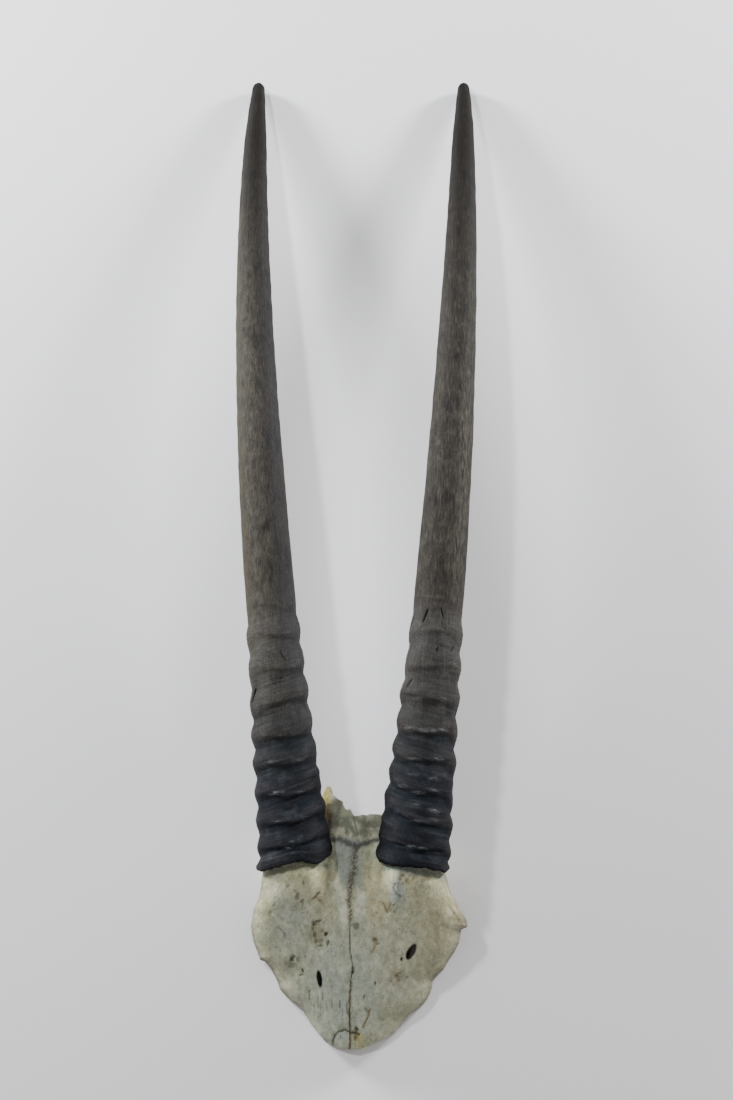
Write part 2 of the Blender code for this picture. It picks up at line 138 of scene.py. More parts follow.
RIGHT_HORN = {
    "side": 1,
    "across": (43.6, 98, 0.125, 0.03),
    "lean": (-8.8, -10, 1.5),
    "edge": (
        (-180, 2), (-130, -2), (-90, -5), (-61, -8), (-28, -7), (-6, -7.5), (15, -8), (44, -8),
        (63, -6.5), (80, -3), (95, 2), (130, 4), (180, 2),
    ),
    "rings": (
        ((-5, -3.8, -2.8, -2, 2.5), (1.8, 0.9, 1.5)),
        ((7.5, 7.8, 6.5, 9.5, 15.5), (1.9, 1.6, 1.6)),
        ((28, 26.8, 25.5, 31, 42.5), (2.2, 1.9, 2.2)),
        ((44.5, 48.5, 45.5, 50, 61), (1.6, 1.6, 2.3)),
        ((72.5, 72, 69, 71, 79.5), (2.5, 2, 2.4)),
        ((95, 93.5, 90, 92, 99), (2.6, 2.2, 2.5)),
        ((119.5, 117, 116, 119.5, 120), (2.2, 1.8, 2.2)),
        ((144, 142.5, 140.5, 139.5, 143), (2, 1.2, 1.7)),
        ((168, 168.5, 167.5, 167, 168.5), (1.9, 0.9, 1.6)),
        ((196, 193, 192, 193, 196), (0.4, 0.4, 0.5)),
    ),
    "small_rings": (
        ((19, 17.5, 17, 19.5, 28), (0.2, 0.9, 1.7)),
        ((38.5, 34.5, 35.5, 38.5, 44), (0.2, 0.8, 0.4)),
        ((56.8, 56.5, 57.5, 60, 63), (1.4, 1, 0.3)),
    ),
    "slits": (
        (29, 178, 10, 0.7, 1.3, -0.3), (-9, 181, 7, 0.5, 0.8, 0.3), (72, 176, 5, 0.8, 1.2, -0.4),
        (-5, 152, 4, 0.5, 0.8, -0.3), (52, 126, 6, 0.8, 1.2, -0.5), (-43, 155, 5, 0.6, 0.8, -0.4),
    ),
    # Painted highlights and gloss on the ring crests, as for the left horn
    "gloss_and_highlights": (
        (-28, 115.5, 7, 1.5, 0.5), (24, 114.5, 14, 0.9, 0.25), (38, 92, 10, 0.8, 0.4), (6, 90, 7, 1, 0.9),
        (-9, 91.5, 8, 1, 0.9), (-33, 93, 9, 0.8, 0.6), (19, 69, 12, 0.8, 0.5), (-27, 71.5, 11, 0.8, 0.6),
        (11, 58, 12, 1.1, 0.35), (-22, 56.5, 9, 0.9, 0.7), (36, 49, 10, 0.9, 0.5), (2, 45, 13, 1, 0.7),
        (-23, 48.5, 11, 0.8, 0.6), (6, 36.5, 12, 2.2, 0.25), (-27, 34, 10, 1.3, 0.6),
        (-3, 25, 14, 0.8, 0.6), (-28, 27.5, 7, 0.8, 0.4), (4, 6.5, 8, 0.8, 0.9), (-10, 6.5, 9, 0.7, 0.5),
    ),
    "chips": (
        (40, 701, 40, 1.2, 0.5, "3c3b37"),
    ),
    "seed": 8,
}
HORNS = {"left_horn": LEFT_HORN, "right_horn": RIGHT_HORN}
HORN_COLUMNS = 176
MEAN_RADIUS = 20  # of the plain tube on which the patterns of a horn are laid out
LAST_SLOPE = 40  # how far the last ring's slope runs on above its crest

# The rows of a sheath: distance and radius of those in its socket, then the steps between those outside
SOCKET_ROWS = ((12, 0.001), (12, 8), (12, 16), (11.8, 22.5), (9, 23.6), (5, 24.2), (2, 24.6), (0.3, 25.2))
RINGED_LENGTH = 214
RINGED_STEP = 0.82
PLAIN_STEP = 2.25
TIP_ROWS = 16

# The skull plate: half widths to the left and right of the midline, of its smooth dome and of its own edge
DOME_WIDTHS = (
    (-1, 7, 6), (3, 18, 18), (11, 27, 31), (21, 34.5, 39), (30, 42, 51), (39, 53, 57.5), (49, 58, 59.5),
    (60, 66.5, 70), (72, 74.5, 78), (86, 76.8, 80.5), (98, 74.5, 78), (110, 70, 72.5), (124, 68.5, 69),
    (136, 66, 66), (148, 50, 50), (160, 37, 37), (176, 35, 35), (200, 32, 32),
)
EDGE_LEFT = (
    (-1, 9), (0, 13), (3, 18), (6.5, 23), (11, 27), (16, 31), (21, 34), (26, 37.6), (30, 41), (33, 46),
    (37, 51), (41.5, 55), (47, 57), (51, 59), (56, 62), (59, 64.4), (61.5, 67), (62.5, 70.2), (67, 71.8),
    (72, 74), (76, 75.6), (81, 76.5), (86, 77), (92, 76), (97.5, 75), (103, 72), (110, 70), (117, 69),
    (127, 68), (136, 66), (148, 50), (160, 37), (200, 32),
)
EDGE_RIGHT = (
    (-1, 5), (0, 6), (1.5, 12), (4, 17), (5.5, 20.8), (8.4, 27), (11.4, 31), (16, 35), (20, 38), (24, 41.6),
    (27, 47), (31, 52), (35, 55), (39, 57), (43, 58.4), (48, 59), (52, 62.6), (55.5, 67), (62, 71),
    (68, 75.6), (74, 79), (80, 80), (84, 80.8), (84.6, 84), (85.7, 85.2), (90, 84.7), (94, 82.3),
    (98.5, 78.7), (104.6, 75.7), (109, 73), (115, 71), (121, 69.4), (127, 68.5), (136, 66), (148, 50),
    (160, 37), (200, 32),
)
MIDLINE_HEIGHTS = (  # distance from the nose end, height of the bone over the surface
    (-1, 6), (8, 11.5), (30, 21), (60, 32), (90, 41), (112, 45.5), (130, 46.5), (143, 47), (152, 43.5),
    (165, 34), (180, 21.5), (200, 6),
)
PLATE_THICKNESSES = (
    (-1, 4), (20, 6.5), (100, 6.5), (118, 8.5), (132, 16), (146, 20), (156, 14), (170, 6), (200, 4),
)
BROKEN_EDGE = (  # x and y of the broken rear edge, from left to right
    (-60, 178), (-28, 176), (-25.6, 184), (-23.6, 189), (-22.2, 192.5), (-20.8, 190), (-19, 185.5),
    (-15, 182.5), (-11.4, 180.2), (-9.2, 178.9), (-9.6, 176.6), (-7.5, 173), (-6, 171.2), (-2.2, 171),
    (-1.5, 168), (0.6, 165), (3, 165.4), (6.5, 166.8), (10, 166.2), (12.2, 167.8), (21, 168.4), (60, 166),
)
NOSE_NOTCH = ((6.2, -8), (6.6, 1.2), (10.2, 7.5), (13.7, 4.2), (20.8, 5.6), (27, 8.2), (36, 8.4), (36, -8))
PLATE_COLUMNS = 196
WALL_COLUMNS = 15
TOP_SHARE = 0.96  # of the half width: further out the columns follow the wall down
PLATE_STEP = 0.82
BREAK_START_Y = 143.0
BROKEN_LENGTH = 38  # the part of the drawing behind the horns that ends at the broken edge
ORBIT_RADIUS = 25.0
ORBIT_CENTRE = (84.3, -8.3)

# The bone's own colour, and how much lighter and cooler it is made after its zones are laid over it
BONE_COLOUR = "a8a48c"
BONE_LIGHTNESS = (1.21, 1.3, 1.29, 1)
# Zones of the bone, laid over each other in this order: x, y, reach across, reach along, colour, strength
BONE_ZONES = (
    (-8, 40, 34, 46, "9fa197", 0.75), (-48, 88, 17, 24, "999c95", 0.5), (-68, 84, 13, 34, "959377", 0.7),
    (-30, 20, 14, 18, "9b9b86", 0.5), (-48, 48, 16, 14, "95967f", 0.5), (62, 88, 22, 38, "a29878", 0.8),
    (52, 52, 18, 22, "938d74", 0.7), (38, 26, 20, 16, "918a72", 0.7), (30, 40, 14, 16, "9d9c8b", 0.4),
    (-33, 112, 24, 15, "b0a683", 0.7), (-20, 103, 9, 18, "b8ad90", 0.6), (19, 112, 13, 24, "b5a980", 0.75),
    (17, 100, 6, 22, "b39f7c", 0.35), (50, 112, 20, 12, "aea27c", 0.6), (-8, 99, 6, 16, "cac5b2", 0.85),
    (6, 99, 5, 15, "c6c2b0", 0.85), (31, 106, 9, 11, "969b99", 0.7), (-40, 100, 9, 8, "85806c", 0.55),
    (-26.5, 77, 6.5, 10, "7d765a", 0.8), (-46, 58, 8, 7, "777460", 0.6), (31, 49, 6, 6, "86765f", 0.6),
    (16.5, 73, 4, 5, "857b62", 0.55), (27, 97, 6, 5, "8d8770", 0.5), (0, 158, 24, 15, "585848", 0.95),
    # The zone at -15.5, 119 is painted light, laid where the left horn's shadow falls beside the grey stain
    (-15.5, 119, 4.5, 14, "cac5b0", 0.75), (79, 92, 7, 10, "84765a", 0.85), (84, 88, 3, 4, "6a5a40", 0.8),
    (-67, 106, 9, 22, "8b8966", 0.75), (68, 108, 9, 20, "958c68", 0.75), (-30, 118, 20, 9, "a89f72", 0.6),
    (-36, 148, 15, 20, "8a8566", 0.75), (36, 148, 15, 20, "8d886c", 0.75), (-6, 174, 14, 9, "7c7963", 0.7),
    (4, 4, 6, 8, "a09655", 0.85), (-8, 5, 6, 6, "a9aca0", 0.8), (3, 9, 4, 4, "5f5430", 0.75),
)
# The waves that make lines, pits and zones ragged: size, seed and octaves, the two broad ones first
JITTER = ((16, 31, 2), (16, 32, 2), (3, 33, 2), (3, 34, 2), (1.2, 35, 1))
BONE_BLOTCHES = (  # size, seed of the noise, and what is laid over where the noise is high or low
    (9, 36, ((1, "8a8d7b", 0.5), (-1, "bcb49a", 0.45))),
    (4.5, 37, ((1, "7f7c66", 0.4), (-1, "c4c0ac", 0.35))),
)
# y and x of the left edge of the grey stain between the horns, which is partly painted shade
STAIN_AND_SHADE_EDGE = ((107.5, -5), (112, -9), (118, -11.5), (128, -14.5), (146, -16.5))

# Lines in the bone: points (x, y), width, depth, colour, strength
BONE_LINES = (
    (((-2.6, -2), (-2.6, 12), (-2.9, 22), (-2.7, 34), (-2.2, 44), (-1.4, 49), (-0.5, 54)), 0.42, 1.2,
     "2d2b24", 0.95),
    (((-0.5, 54), (-1.2, 60), (-2.6, 67), (-2.6, 84)), 0.42, 0.9, "35332a", 0.9),
    (((-2.6, -2), (-2.4, 12), (-2.6, 34), (-1.6, 46)), 1.1, 0.3, "6f634a", 0.6),
    (((-64, 119.5), (-50, 122.4), (-37, 124.2), (-20, 126)), 2.4, 0.2, "686c5c", 0.75),
    (((23, 125), (45, 120.6), (68, 118.6)), 2.8, 0.3, "64706a", 0.85),
    (((-19.4, 146), (-18.9, 157), (-18.4, 168)), 2, 0.6, "3a2010", 1),
    (((-21.6, 168), (-21.6, 179), (-21.8, 190)), 3.4, 0.2, "8f7f2c", 1),
    (((-21.4, 164), (-20.6, 176)), 2.2, 0.2, "5a4a1c", 0.7),
    (((-2.9, 20), (-4.6, 25), (-5, 31)), 0.5, 0.4, "55503f", 0.8),
    (((-0.5, 55), (-0.6, 52)), 1.2, 0.6, "26261f", 0.8),
    (((-24, 147.5), (-15, 146.6), (-10, 146.6), (-6.3, 144.5), (-2.6, 142.5), (2.5, 140.4), (6.2, 142.2),
      (10, 143.3), (15, 145.8), (22, 147)), 2.1, 0.9, "3f4240", 0.9),
    (((-9.4, 145.5), (-8.6, 142)), 0.6, 0.3, "5a5b50", 0.7),
    (((9, 144), (9.4, 140.6)), 0.7, 0.3, "5a5a4c", 0.7),
    (((0.2, 164), (2.5, 152.2), (3.8, 144.4)), 0.8, 0.5, "53524a", 0.6),
    (((-15.4, 2.5), (-14, 8.8), (-10.7, 11.3), (-6.5, 12.6), (-2.8, 10.9), (1.5, 10), (3.3, 13)), 0.75, 0.9,
     "2c2c20", 0.9),
    (((8.4, 27.4), (10.6, 24.5)), 0.6, 0.5, "6a5838", 0.85),
    (((12.1, 27), (10.8, 22), (8.6, 17.5), (6.9, 14.3)), 0.8, 0.5, "6a5838", 0.8),
    (((-55, 83.8), (-52.6, 81.2), (-49.6, 77.6)), 0.5, 0.4, "5e5d4e", 0.8),
    (((-29.2, 102), (-27.4, 104), (-25.2, 107)), 0.8, 0.8, "4d3f2b", 0.9),
    (((-27.5, 103), (-24, 101.5), (-22.5, 99.5)), 1.1, 0.5, "75674c", 0.7),
    (((-15.2, 99.4), (-14.9, 97), (-15.6, 93.8)), 0.3, 0.3, "6d553c", 0.9),
    (((-13.6, 94), (-16.8, 88), (-15.4, 84)), 0.3, 0.2, "8b7658", 0.6),
    (((21.4, 99.6), (23, 96.6), (24.6, 93.2)), 0.6, 0.6, "5c4431", 0.9),
    (((24.6, 93.2), (25.6, 96.5), (27, 99)), 0.7, 0.4, "7f6c4e", 0.7),
    (((30.6, 112), (29, 109.5), (31, 106), (34, 103.5)), 0.7, 0.7, "62655c", 0.8),
    (((33, 112.5), (31.8, 109), (33.6, 106.8)), 0.6, 0.4, "767a72", 0.7),
    (((-32.3, 39.5), (-32.2, 33.5)), 0.55, 0.4, "6e6c57", 0.75),
    (((-22.8, 38.5), (-22.7, 33)), 0.45, 0.4, "63635a", 0.75),
    (((-26, 36), (-25.7, 28)), 0.4, 0.3, "75756a", 0.6),
    (((-15.8, 33), (-15.6, 27)), 0.5, 0.4, "5f6058", 0.7),
    (((-10, 32.5), (-9.8, 27.5)), 0.55, 0.5, "54554f", 0.75),
    (((-8.2, 26), (-7.8, 22)), 0.4, 0.3, "66665c", 0.6),
    (((-19.5, 31), (-19.3, 26)), 0.35, 0.3, "75756a", 0.6),
    (((-29, 30), (-28.4, 23)), 0.4, 0.3, "7b7b69", 0.5),
    (((-24.2, 30), (-23.8, 22)), 0.35, 0.25, "7e7e72", 0.5),
    (((14, 66), (15.4, 70.5)), 1, 0.5, "7c7052", 0.6),
    (((70, 98), (76, 90), (80, 86)), 0.8, 0.5, "6d5c3e", 0.7),
    (((74, 100), (79.5, 92), (83.5, 87)), 0.9, 0.5, "594a33", 0.8),
    (((68.5, 104), (72, 99)), 0.6, 0.3, "8a7d5e", 0.6),
    (((82.5, 92), (84.5, 86)), 1.6, 0.2, "5a4c38", 0.8),
)

# Pits in the bone: x, y, reach across, reach along, depth, colour, strength
BONE_PITS = (
    (-44.8, 62, 1.9, 2.2, 1.2, "3d3c2a", 0.9), (-45.4, 57.6, 2.6, 3, 0.5, "5d5b49", 0.6),
    (-49.6, 58.4, 1.4, 1.8, 0.4, "62604c", 0.5), (-40.4, 60.5, 1.3, 1.6, 0.4, "5f5f4c", 0.5),
    (-37.4, 53.4, 0.9, 1.4, 1, "2f3020", 0.9), (-38.6, 50.4, 1.6, 0.9, 0.5, "525338", 0.75),
    (-35.6, 63.5, 0.9, 0.9, 0.4, "6b6d62", 0.7), (-48.6, 72, 0.9, 0.7, 0.3, "777b70", 0.6),
    (-20.4, 78.6, 1.1, 1.3, 2, "14140c", 1), (-18.9, 72.8, 0.9, 2.2, 0.8, "3c3f2a", 0.85),
    (-22.6, 80.4, 1, 0.7, 0.6, "56583c", 0.7), (-28.6, 85.6, 2, 2, 1, "4a4130", 0.9),
    (-25.6, 87.4, 3.2, 0.9, 0.8, "4b432f", 0.85), (-29.8, 82.6, 1.1, 2, 0.8, "53492f", 0.8),
    (-34.4, 83.4, 1.3, 1.2, 0.5, "767540", 0.6), (-28.2, 78.4, 1.7, 2.8, 0.9, "58523a", 0.85),
    (-31.8, 77.4, 0.9, 2.2, 0.4, "76714f", 0.6), (-27.4, 73.2, 1.6, 1.7, 0.8, "5b5439", 0.8),
    (-24.4, 70.6, 2.4, 1.1, 0.7, "665d40", 0.75), (-23.2, 74.2, 1.2, 1.8, 0.6, "6a6142", 0.7),
    (-40.6, 103.6, 2, 2.8, 0.7, "5f584a", 0.75), (-37.6, 100.4, 1.5, 1.6, 0.6, "5a5646", 0.75),
    (-42.8, 107.2, 1.7, 1.5, 0.5, "6d664f", 0.6), (-37, 98, 0.9, 2.2, 0.6, "565446", 0.75),
    (-33.4, 92.8, 0.8, 1.7, 0.5, "5d5c4e", 0.7), (-34.6, 96.2, 1.2, 1, 0.4, "73705c", 0.6),
    (-36.2, 112.4, 0.9, 1.5, 0.6, "5c5646", 0.75), (-47.6, 110.4, 1.6, 1.4, 0.5, "6b6554", 0.6),
    (-57.6, 97.6, 1, 1.2, 0.4, "6d6b50", 0.6), (-60.4, 92.4, 1.2, 2.4, 0.4, "77755a", 0.55),
    (-56.6, 103.4, 0.9, 0.9, 0.3, "74705a", 0.6), (-31.4, 100.8, 1.6, 1.2, 0.4, "7f7c66", 0.5),
    (-9.3, 76.6, 1.2, 0.9, 0.4, "8b8978", 0.6), (-8.6, 70.4, 1.4, 0.8, 0.5, "7b7967", 0.65),
    (-6.2, 62.5, 0.6, 0.6, 0.4, "6b6a60", 0.7), (-5.6, 44.6, 0.5, 1, 0.3, "74746a", 0.6),
    (6.9, 84.6, 0.9, 0.8, 0.3, "85837a", 0.7), (15.6, 74.6, 2.1, 1.5, 0.9, "655b41", 0.85),
    (17.6, 72.4, 1.3, 1.6, 0.8, "5f563d", 0.8), (15.2, 69.2, 1, 2.6, 0.5, "8a7a5a", 0.7),
    (27.1, 78.9, 1.3, 0.8, 0.3, "8b8a74", 0.65), (35.4, 80, 1.4, 1.4, 0.3, "8c8b78", 0.6),
    (38.2, 79, 0.9, 1, 0.3, "85836e", 0.6), (36.2, 75.2, 0.8, 0.8, 0.3, "8d8c79", 0.5),
    (35.3, 61.1, 1, 1.2, 2.2, "16150d", 1), (35.6, 64, 0.5, 1.6, 0.3, "55543e", 0.6),
    (33.6, 52.2, 1.6, 0.9, 0.8, "4b4937", 0.8), (31.6, 49.6, 1.7, 1.6, 0.5, "7d6547", 0.75),
    (33, 46.6, 1.2, 1.2, 0.4, "83664a", 0.7), (27.2, 46.2, 1, 1.4, 0.4, "6b6c66", 0.65),
    (29.2, 43, 1.5, 0.9, 0.3, "807d70", 0.5), (39, 48.8, 0.8, 0.7, 0.5, "5b5a49", 0.8),
    (42.3, 51.4, 0.8, 0.8, 0.5, "56554a", 0.8), (15.7, 44.4, 0.7, 1.5, 0.8, "383a35", 0.9),
    (12.4, 52.2, 0.6, 1, 0.4, "77766c", 0.6), (7.8, 35, 0.7, 1.9, 0.7, "454640", 0.85),
    (4.2, 48.6, 0.9, 0.7, 0.4, "77786f", 0.7), (3.6, 30, 0.9, 1.6, 0.3, "7a7a70", 0.5),
    (21.4, 20, 0.7, 1.1, 0.5, "6b4f3a", 0.8), (35.9, 117.6, 1.7, 1, 0.6, "5c4f3f", 0.8),
    (33.8, 114.6, 1, 1.6, 0.5, "7b664a", 0.7), (38.4, 114.2, 1, 1.4, 0.5, "6c5d46", 0.7),
    (35.8, 112.2, 1.7, 0.9, 0.4, "7d6f52", 0.6), (37.2, 101.6, 1, 1.2, 0.6, "54564e", 0.8),
    (40, 103.6, 1.4, 1, 0.3, "7d8078", 0.6), (34.4, 99.6, 1.3, 1, 0.3, "868a84", 0.5),
    (29.6, 98.2, 1.2, 1, 0.6, "4f4c36", 0.8), (27.6, 94.8, 1.5, 1.3, 0.6, "6f6346", 0.75),
    (29.8, 93.6, 0.8, 0.9, 0.5, "4c4a33", 0.8), (19.6, 100.8, 1.4, 1.2, 0.4, "868060", 0.65),
    (16, 110.4, 0.5, 0.5, 0.3, "8a8468", 0.6), (43.4, 116.4, 0.6, 1.6, 0.3, "7b5843", 0.7),
    (46.6, 113.6, 1, 0.7, 0.3, "7c7660", 0.6), (45.4, 105.6, 1.6, 3.4, 0.3, "7f8272", 0.5),
    (-64.6, 60.4, 2.2, 1.4, 0.4, "777c4e", 0.6), (-68.4, 62.5, 0.9, 1.1, 0.5, "3c3d2c", 0.7),
    (2, 13.4, 1.3, 1.2, 0.9, "2f2e1e", 0.9), (3.6, 9.6, 1.1, 1, 0.7, "423c24", 0.85),
    (1.2, 6.4, 1, 2, 0.6, "6a542c", 0.8), (-9.2, 7.6, 0.4, 1.4, 0.4, "55564a", 0.8),
)
ROUND_SPOT = (2, 84, 2.8)
MEDIAN_PATH = (  # y, x of the suture's middle and how far it wanders to each side, above the straight crack
    (78, -2.5, 0.3), (86, -2.9, 0.7), (92, -2, 1), (98, -2.5, 1.3), (101, -3.8, 2.2), (105, -2.9, 1.3),
    (110, -2.5, 1.6), (115, -2.3, 2.1), (122, 0.2, 2.2), (129, 0.2, 2.2), (136, 1.2, 1.3), (141, 2.2, 0.8),
)
FORAMINA = (  # x, y, height, half width, half length, degrees turned, degrees leaning sideways
    (-25.2, 47.8, 26.3, 1.5, 4.9, -10, -40),
    (41.1, 65.7, 30.7, 1.25, 3.4, 28, 57),
)


def in_frame(x, y, z=0.0):
    """A place measured in millimetres from the nose end, as a point of the frame in metres."""
    return Vector(((x + MIDLINE_X) * MM, (y + NOSE_Y) * MM, z * MM))


def eased(value, low, high):
    """0 below low, 1 above high, eased between them."""
    share = np.clip((np.asarray(value, float) - low) / (high - low), 0, 1)
    return share * share * (3 - 2 * share)


def hill(value, middle, reach):
    """1 at the middle, falling smoothly to about a third at the reach."""
    return np.exp(-(((value - middle) / reach) ** 2))


def along(table, where, column=1):
    """Reads a table of (position, value, ...) rows with a smooth curve through its values."""
    places = np.array([row[0] for row in table], float)
    values = np.array([row[column] for row in table], float)
    slopes = np.empty_like(values)
    slopes[1:-1] = (values[2:] - values[:-2]) / (places[2:] - places[:-2])
    slopes[0] = (values[1] - values[0]) / (places[1] - places[0])
    slopes[-1] = (values[-1] - values[-2]) / (places[-1] - places[-2])
    where = np.clip(np.asarray(where, float), places[0], places[-1])
    i = np.clip(np.searchsorted(places, where, side="right") - 1, 0, len(places) - 2)
    span = places[i + 1] - places[i]
    t = (where - places[i]) / span
    ease = t * t * (3 - 2 * t)
    bend = slopes[i] * t * (1 - t) ** 2 - slopes[i + 1] * t * t * (1 - t)
    return values[i] + (values[i + 1] - values[i]) * ease + span * bend


def between(table, where, column=1):
    """Reads a table of rows with straight stretches between its values."""
    return np.interp(where, [row[0] for row in table], [row[column] for row in table])


def noise_at(points, scale, seed=0.0, octaves=1):
    """Smooth noise of about -1 to 1 at each point. Scale is one wave in millimetres, or one for each axis."""
    scaled = np.asarray(points, float) / np.asarray(scale, float) + seed * 17.3
    if octaves == 1:
        return np.array([noise.noise(point) for point in scaled.tolist()])
    return np.array([noise.fractal(point, 0.8, 2.0, octaves) for point in scaled.tolist()])


def plan_noise(x, y, scale, seed, octaves=1):
    """Noise that is the same at every height over x, y."""
    return noise_at(np.column_stack((x, y, np.zeros_like(x))), scale, seed, octaves)


def linear(hex_colour):
    """A colour written as sRGB hex, such as 8f9089, as the linear values that shaders take."""
    parts = [int(hex_colour[i : i + 2], 16) / 255 for i in (0, 2, 4)]
    return (*[p / 12.92 if p <= 0.04045 else ((p + 0.055) / 1.055) ** 2.4 for p in parts], 1.0)


def laid_over(colours, *layers):
    """Lays colours over linear ones, one after the other. A layer is its colour and its amount per point."""
    for hex_colour, amount in layers:
        amount = np.clip(amount, 0, 1)[:, None]
        colours = colours * (1 - amount) + np.array(linear(hex_colour)) * amount
    return colours


def show(piece):
    bpy.context.scene.collection.objects.link(piece)
    return piece


def deselect():
    if bpy.context.mode != "OBJECT":
        bpy.ops.object.mode_set(mode="OBJECT")
    bpy.ops.object.select_all(action="DESELECT")


def make_active(piece):
    deselect()
    bpy.context.view_layer.objects.active = piece
    piece.select_set(True)


def add_sheet(name, columns, rows):
    """A flat sheet of columns by rows faces, and the column and the row of each of its points."""
    deselect()
    bpy.ops.mesh.primitive_grid_add(x_subdivisions=columns, y_subdivisions=rows, size=2)
    sheet = bpy.context.object
    sheet.name = name
    flat = np.empty(len(sheet.data.vertices) * 3)
    sheet.data.vertices.foreach_get("co", flat)
    flat = flat.reshape(-1, 3)
    column = np.rint((flat[:, 0] + 1) / 2 * columns).astype(int)
    return sheet, column, np.rint((flat[:, 1] + 1) / 2 * rows).astype(int)


def put_points(piece, places):
    """Moves the mesh's points to places in millimetres from the nose end."""
    moved = (np.asarray(places) + (MIDLINE_X, NOSE_Y, 0.0)) * MM
    piece.data.vertices.foreach_set("co", moved.astype(np.float32).ravel())
    piece.data.update()


def points_of(piece):
    flat = np.empty(len(piece.data.vertices) * 3, np.float32)
    piece.data.vertices.foreach_get("co", flat)
    return flat.reshape(-1, 3) / MM - (MIDLINE_X, NOSE_Y, 0.0)


def store(piece, name, values, kind="FLOAT"):
    """Keeps a value per point on the mesh, for its material to read."""
    layer = piece.data.attributes.new(name, kind, "POINT")
    field = {"FLOAT": "value", "FLOAT_VECTOR": "vector", "FLOAT_COLOR": "color"}[kind]
    layer.data.foreach_set(field, np.asarray(values, np.float32).ravel())


def stored(piece, name):
    values = np.empty(len(piece.data.vertices), np.float32)
    piece.data.attributes[name].data.foreach_get("value", values)
    return values


def close_up(piece, distance=0.00002):
    """Welds the seams of a rolled sheet and turns its faces outwards."""
    make_active(piece)
    bpy.ops.object.mode_set(mode="EDIT")
    bpy.ops.mesh.select_all(action="SELECT")
    bpy.ops.mesh.remove_doubles(threshold=distance)
    bpy.ops.mesh.normals_make_consistent(inside=False)
    bpy.ops.object.mode_set(mode="OBJECT")
    bpy.ops.object.shade_smooth()


# The horns


def horn_axis(horn, distance):
    """Centre of the horn at each distance along it, and the directions up and sideways there."""
    t = distance / HORN_LENGTH
    start_x, end_x, start_slope, end_slope = horn["across"]
    start_pull, end_pull = start_slope * HORN_LENGTH, end_slope * HORN_LENGTH
    ease = t * t * (3 - 2 * t)
    x = start_x * (1 - ease) + end_x * ease
    x = x + start_pull * t * (1 - t) ** 2 - end_pull * t * t * (1 - t)
    fall = (AXIS_HEIGHT_AT_BASE - AXIS_HEIGHT_AT_TIP + AXIS_RISE_AT_BASE * HORN_LENGTH) / HORN_LENGTH**2
    z = AXIS_HEIGHT_AT_BASE + AXIS_RISE_AT_BASE * distance - fall * distance**2
    slope_x = 6 * t * (1 - t) * (end_x - start_x)
    slope_x = slope_x + start_pull * (1 - t) * (1 - 3 * t) - end_pull * t * (2 - 3 * t)
    slope_z = AXIS_RISE_AT_BASE - 2 * fall * distance
    forward = np.column_stack((slope_x / HORN_LENGTH, np.ones_like(t), slope_z))
    forward /= np.linalg.norm(forward, axis=1)[:, None]
    sideways = np.cross(forward, (0.0, 0.0, 1.0))
    sideways /= np.linalg.norm(sideways, axis=1)[:, None]
    return np.column_stack((x, HORN_START_Y + distance, z)), np.cross(sideways, forward), sideways


def ring_line(places, degrees):
    """How far along the horn a ring's crest is, at degrees round it from its front towards its inner side."""
    behind = (places[0] + places[-1]) / 2 + 1.5
    return along([(-180, behind), *zip(ROUND, places), (180, behind)], degrees)


def ring_height(heights, inward, upward):
    """The height of a ring round the horn: the underside is like the mean of the two sides."""
    outer, front, inner = heights
    beside = np.where(inward > 0, inner, outer)
    over = np.where(upward > 0, front, (outer + inner) / 2)
    return beside * inward**2 + over * (1 - inward**2)


def ring_relief(horn, distance, degrees, inward, upward):
    """Height of the rings over the grooves: round at the sides, a long slope and a step in front."""
    front = np.clip(upward, 0, 1)
    lines = [ring_line(places, degrees) for places, _ in horn["rings"]]
    heights = [ring_height(high, inward, upward) for _, high in horn["rings"]]
    lines.append(lines[-1] + LAST_SLOPE)
    heights.append(np.zeros_like(heights[0]))
    groove = 0.5 + 0.34 * front**1.5 + 0.04 * inward
    fuller, sharper = 0.65 + 0.35 * front, 0.65 + 1.05 * front
    relief = np.where(distance <= lines[0], heights[0], 0)
    for i in range(len(lines) - 1):
        share = (distance - lines[i]) / (lines[i + 1] - lines[i])
        falling = 0.5 + 0.5 * np.cos(np.pi * np.clip(share / groove, 0, 1))
        rising = 0.5 - 0.5 * np.cos(np.pi * np.clip((share - groove) / (1 - groove), 0, 1))
        here = heights[i] * falling**sharper + heights[i + 1] * rising**fuller
        relief = np.where((share > 0) & (share <= 1), here, relief)
    for places, high in horn["small_rings"]:
        relief += ring_height(high, inward, upward) * hill(distance, ring_line(places, degrees), 3.4)
    return relief * (1 - 0.28 * front**2), lines[:-1]


def slit_depths(horn, distance, degrees):
    """How deep each point is in one of the horn's short cracks."""
    depth = np.zeros_like(distance)
    for middle, place, length, width, deep, slant in horn["slits"]:
        across = np.radians(degrees - middle) * MEAN_RADIUS - slant * (distance - place)
        ends = 1 - eased(abs(distance - place), length / 3, length / 1.6)
        depth = np.maximum(depth, deep * hill(across, 0, width) * ends)
    return depth


def chip_share(chip, distance, degrees):
    """How much each point is in a chip, from 0 to 1."""
    middle, place, reach, length = chip[:4]
    near = np.hypot((degrees - middle) / reach, (distance - place) / length)
    return 1 - eased(near, 0.5, 1.2)


def horn_rows():
    """Each row's distance, and its radius in the socket or 0 outside, from the socket's floor to the tip."""
    tip_start = HORN_LENGTH - TIP_CAP_LENGTH
    ringed = np.arange(0, RINGED_LENGTH, RINGED_STEP)
    plain = np.arange(RINGED_LENGTH, tip_start, PLAIN_STEP)
    cap = HORN_LENGTH - TIP_CAP_LENGTH * np.cos(np.linspace(0, np.pi / 2, TIP_ROWS))
    return np.array([*SOCKET_ROWS, *((distance, 0) for distance in np.concatenate((ringed, plain, cap)))])


